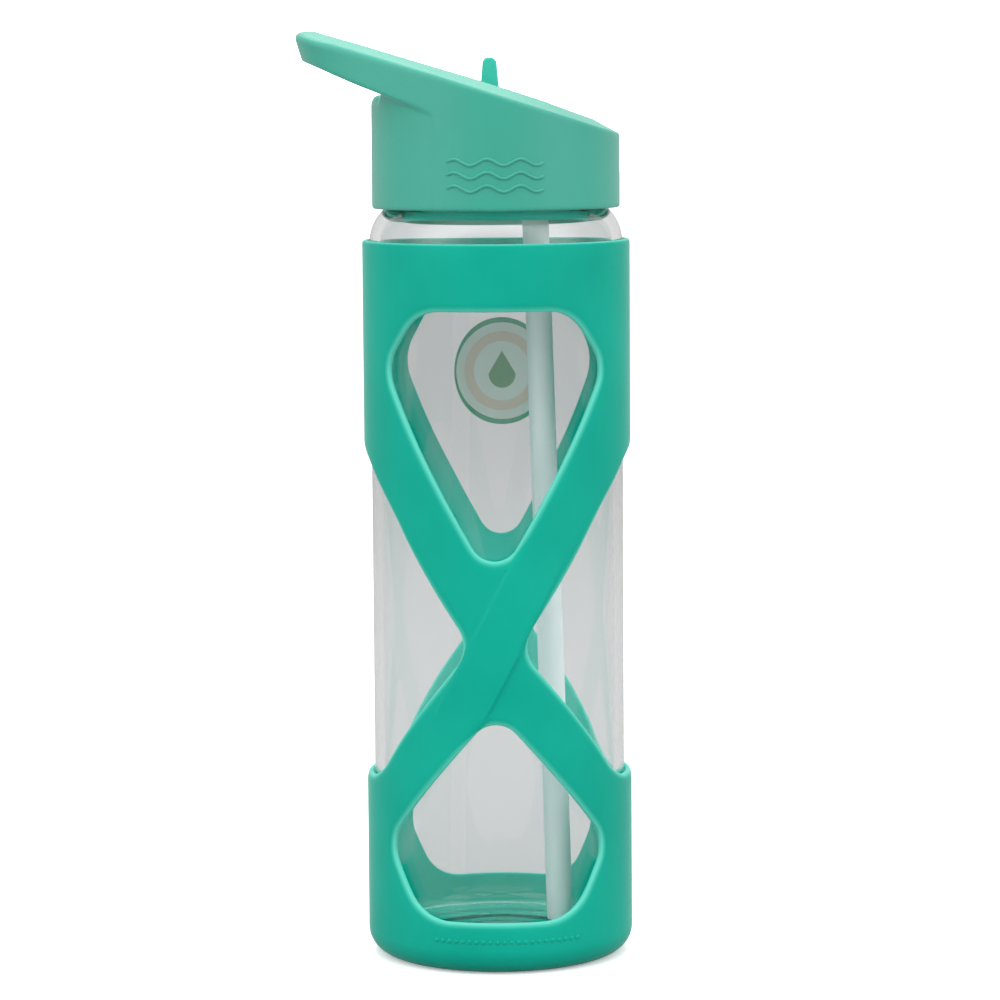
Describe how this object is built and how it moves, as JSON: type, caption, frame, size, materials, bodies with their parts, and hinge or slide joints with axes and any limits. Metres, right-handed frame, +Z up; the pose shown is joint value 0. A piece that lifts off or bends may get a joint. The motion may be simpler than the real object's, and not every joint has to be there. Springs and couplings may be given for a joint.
{
  "type": "water bottle",
  "caption": "Glass water bottle in a cut-out silicone sleeve, with a screw lid that carries a sloping finger loop, a flip-up spout with a thumb tab and a drinking straw.",
  "frame": {"origin": "centre of the glass's flat underside, on the bottle's axis; the sleeve's foot ring stands 1.3 mm lower", "axes": "+Z up along the bottle's axis, -X towards the carry loop, -Y out of the front window"},
  "size_m": [0.0878, 0.071, 0.2471],
  "materials": {
    "clear_glass": "clear, smooth",
    "sleeve_silicone": "satin teal silicone",
    "sticker_paper": "printed label with a green ring and a drop",
    "shell_plastic": "fine satin, teal",
    "insert_plastic": "satin, teal",
    "gasket_silicone": "translucent silicone",
    "seal_silicone": "translucent silicone",
    "valve_silicone": "translucent silicone",
    "straw_plastic": "frosted, translucent",
    "lever_plastic": "satin, teal",
    "tip_silicone": "translucent silicone"
  },
  "bodies": {
    "bottle": {"glass_bottle": "clear_glass", "silicone_sleeve": "sleeve_silicone", "back_sticker": "sticker_paper"},
    "seal": {"rim_gasket": "gasket_silicone"},
    "lid": {"lid_shell": "shell_plastic", "lid_insert": "insert_plastic", "straw_seal": "seal_silicone", "vent_valve": "valve_silicone", "straw": "straw_plastic"},
    "spout": {"spout_lever": "lever_plastic", "spout_tip": "tip_silicone"}
  },
  "joints": [
    {"name": "lid_lift", "type": "slide", "parent": "bottle", "child": "seal", "axis": [0, 0, 1], "range_m": [0, 0.005]},
    {"name": "lid_turn", "type": "hinge", "parent": "seal", "child": "lid", "pos_m": [0, 0, 0], "axis": [0, 0, 1], "range_deg": [0, 360]},
    {"name": "spout_flip", "type": "hinge", "parent": "lid", "child": "spout", "pos_m": [0.01013, 0, 0.218], "axis": [0, 1, 0], "range_deg": [0, 69]}
  ],
  "couplings": [
    {"joint": "lid_lift", "follows": "lid_turn", "m_per_rad": 0.00079577}
  ]
}
